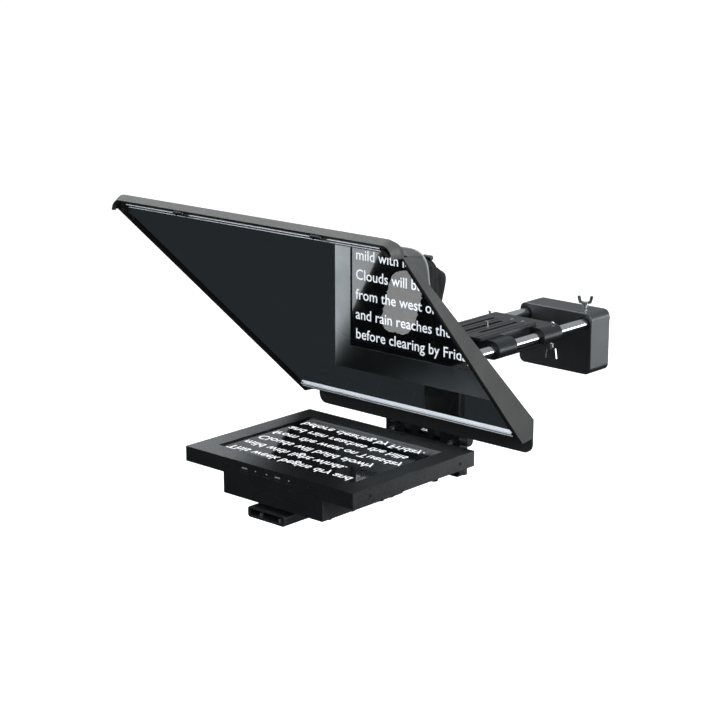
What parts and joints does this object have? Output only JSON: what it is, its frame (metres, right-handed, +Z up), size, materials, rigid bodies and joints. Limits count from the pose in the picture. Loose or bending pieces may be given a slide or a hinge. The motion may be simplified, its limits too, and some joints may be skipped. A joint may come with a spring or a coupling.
{
  "type": "teleprompter",
  "caption": "Camera-mounted teleprompter: flat monitor under a tilted beam-splitter glass in a black hood, on rods with a sliding camera plate and counterweight.",
  "frame": {"origin": "mouth of the 3/8 inch tripod thread under the sliding carriage", "axes": "+Z up, +Y to the rear towards the camera operator, -Y towards the presenter, +X to the right seen from the presenter's side"},
  "size_m": [0.48, 0.6878, 0.3925],
  "materials": {
    "black_powder": "matt textured black powder coat",
    "bezel_black": "satin black",
    "anodised_black": "black anodised, brushed",
    "bright_aluminium": "satin extruded aluminium",
    "chrome_rod": "polished chrome",
    "steel_bright": "zinc plated, brushed",
    "steel_black": "black oxide",
    "brass": "turned brass",
    "hood_shell": "fine-grained moulded charcoal",
    "gusset_grey": "satin grey paint",
    "splitter_glass": "half-silvered glass",
    "screen_glass": "glossy cover glass",
    "lcd_black": "black panel with white script",
    "board_green": "solder-masked circuit board",
    "plastic_black": "satin black",
    "rubber_black": "matt",
    "shroud_fabric": "woven charcoal nylon",
    "piping_grey": "light grey corded piping",
    "sock_fabric": "soft black stretch fabric",
    "cast_black": "black satin paint over cast iron",
    "bush_plastic": "black acetal"
  },
  "bodies": {
    "carriage": {"carriage_body": "anodised_black", "camera_plate": "anodised_black", "camera_plate_screws": "steel_bright", "clamp_set_screws": "steel_bright"},
    "camera_washer": {"camera_screw_washer": "steel_black"},
    "camera_screw": {"camera_screw": "steel_bright"},
    "clamp_screw_left": {"clamp_wing_screw_left": "steel_bright"},
    "clamp_screw_right": {"clamp_wing_screw_right": "steel_bright"},
    "rods": {"rod_left": "chrome_rod", "rod_right": "chrome_rod", "rod_end_plugs": "rubber_black", "rod_sockets": "anodised_black", "mast_plate": "black_powder", "hinge_block": "anodised_black", "mast_screws": "steel_bright", "hinge_pin": "steel_bright", "monitor_channel": "black_powder", "channel_screws": "steel_bright"},
    "tilt_knob": {"tilt_lock_knob": "plastic_black"},
    "hood": {"hood_back_plate": "black_powder", "hinge_leaf": "black_powder", "hood_gussets": "gusset_grey", "side_panel_left": "hood_shell", "side_panel_right": "hood_shell", "top_lip": "hood_shell", "glass_top_bar": "bright_aluminium", "glass_bottom_bar": "bright_aluminium", "beam_splitter_glass": "splitter_glass", "glass_side_seals": "rubber_black", "bar_end_caps": "plastic_black", "shroud_top": "shroud_fabric", "shroud_bottom": "shroud_fabric", "shroud_left": "shroud_fabric", "shroud_right": "shroud_fabric", "shroud_piping": "piping_grey", "lens_sock": "sock_fabric", "cord_toggle": "plastic_black"},
    "clip_left": {"glass_clip_left": "plastic_black"},
    "clip_right": {"glass_clip_right": "plastic_black"},
    "monitor": {"monitor_case": "bezel_black", "front_fascia": "bezel_black", "monitor_back_cover": "black_powder", "electronics_housing": "black_powder", "screen_glass": "screen_glass", "lcd_panel": "lcd_black", "circuit_boards": "board_green", "board_standoffs": "brass", "rear_sockets": "steel_bright", "monitor_screws": "steel_black", "rubber_feet": "rubber_black", "slide_shoe": "anodised_black"},
    "shoe_knob": {"slide_knob": "plastic_black"},
    "power_button": {"power_button": "plastic_black"},
    "menu_button": {"menu_button": "plastic_black"},
    "minus_button": {"minus_button": "plastic_black"},
    "plus_button": {"plus_button": "plastic_black"},
    "source_button": {"source_button": "plastic_black"},
    "counterweight": {"counterweight_body": "cast_black", "counterweight_bushes": "bush_plastic"},
    "weight_screw": {"counterweight_wing_screw": "steel_bright"}
  },
  "joints": [
    {"name": "rod_slide", "type": "slide", "parent": "carriage", "child": "rods", "axis": [0, 1, 0], "range_m": [-0.03, 0.025]},
    {"name": "counterweight_slide", "type": "slide", "parent": "rods", "child": "counterweight", "axis": [0, 1, 0], "range_m": [-0.03, 0]},
    {"name": "monitor_slide", "type": "slide", "parent": "rods", "child": "monitor", "axis": [0, 1, 0], "range_m": [-0.02, 0.03]},
    {"name": "hood_tilt", "type": "hinge", "parent": "rods", "child": "hood", "pos_m": [0, -0.15, -0.092], "axis": [1, 0, 0], "range_deg": [0, 15]},
    {"name": "tilt_knob_turn", "type": "hinge", "parent": "rods", "child": "tilt_knob", "pos_m": [0.072, -0.15, -0.092], "axis": [1, 0, 0], "range_deg": [-90, 90]},
    {"name": "glass_clip_left_turn", "type": "hinge", "parent": "hood", "child": "clip_left", "pos_m": [-0.115, -0.4877, 0.239], "axis": [0, -0.7071, -0.7071], "range_deg": [-90, 0]},
    {"name": "glass_clip_right_turn", "type": "hinge", "parent": "hood", "child": "clip_right", "pos_m": [0.115, -0.4877, 0.239], "axis": [0, -0.7071, -0.7071], "range_deg": [-90, 0]},
    {"name": "shoe_knob_turn", "type": "hinge", "parent": "monitor", "child": "shoe_knob", "pos_m": [0.045, -0.351, -0.136], "axis": [1, 0, 0], "range_deg": [-90, 90]},
    {"name": "clamp_screw_left_turn", "type": "hinge", "parent": "carriage", "child": "clamp_screw_left", "pos_m": [-0.0516, 0.061, -0.008], "axis": [0, 0, 1], "range_deg": [-90, 90]},
    {"name": "clamp_screw_right_turn", "type": "hinge", "parent": "carriage", "child": "clamp_screw_right", "pos_m": [0.0516, 0.061, -0.008], "axis": [0, 0, 1], "range_deg": [-90, 90]},
    {"name": "weight_screw_turn", "type": "hinge", "parent": "counterweight", "child": "weight_screw", "pos_m": [0.033, 0.169, 0.036], "axis": [0, 0, 1], "range_deg": [-90, 90]},
    {"name": "camera_washer_slide", "type": "slide", "parent": "carriage", "child": "camera_washer", "axis": [0, 1, 0], "range_m": [-0.04, 0.02]},
    {"name": "camera_screw_turn", "type": "hinge", "parent": "camera_washer", "child": "camera_screw", "pos_m": [0, -0.018, 0.024], "axis": [0, 0, 1], "continuous": true},
    {"name": "power_button_press", "type": "slide", "parent": "monitor", "child": "power_button", "axis": [0, 1, 0], "range_m": [0, 0.0009], "stiffness_N_per_m": 400, "springref_m": -0.0004},
    {"name": "menu_button_press", "type": "slide", "parent": "monitor", "child": "menu_button", "axis": [0, 1, 0], "range_m": [0, 0.0009], "stiffness_N_per_m": 400, "springref_m": -0.0004},
    {"name": "minus_button_press", "type": "slide", "parent": "monitor", "child": "minus_button", "axis": [0, 1, 0], "range_m": [0, 0.0009], "stiffness_N_per_m": 400, "springref_m": -0.0004},
    {"name": "plus_button_press", "type": "slide", "parent": "monitor", "child": "plus_button", "axis": [0, 1, 0], "range_m": [0, 0.0009], "stiffness_N_per_m": 400, "springref_m": -0.0004},
    {"name": "source_button_press", "type": "slide", "parent": "monitor", "child": "source_button", "axis": [0, 1, 0], "range_m": [0, 0.0009], "stiffness_N_per_m": 400, "springref_m": -0.0004}
  ]
}
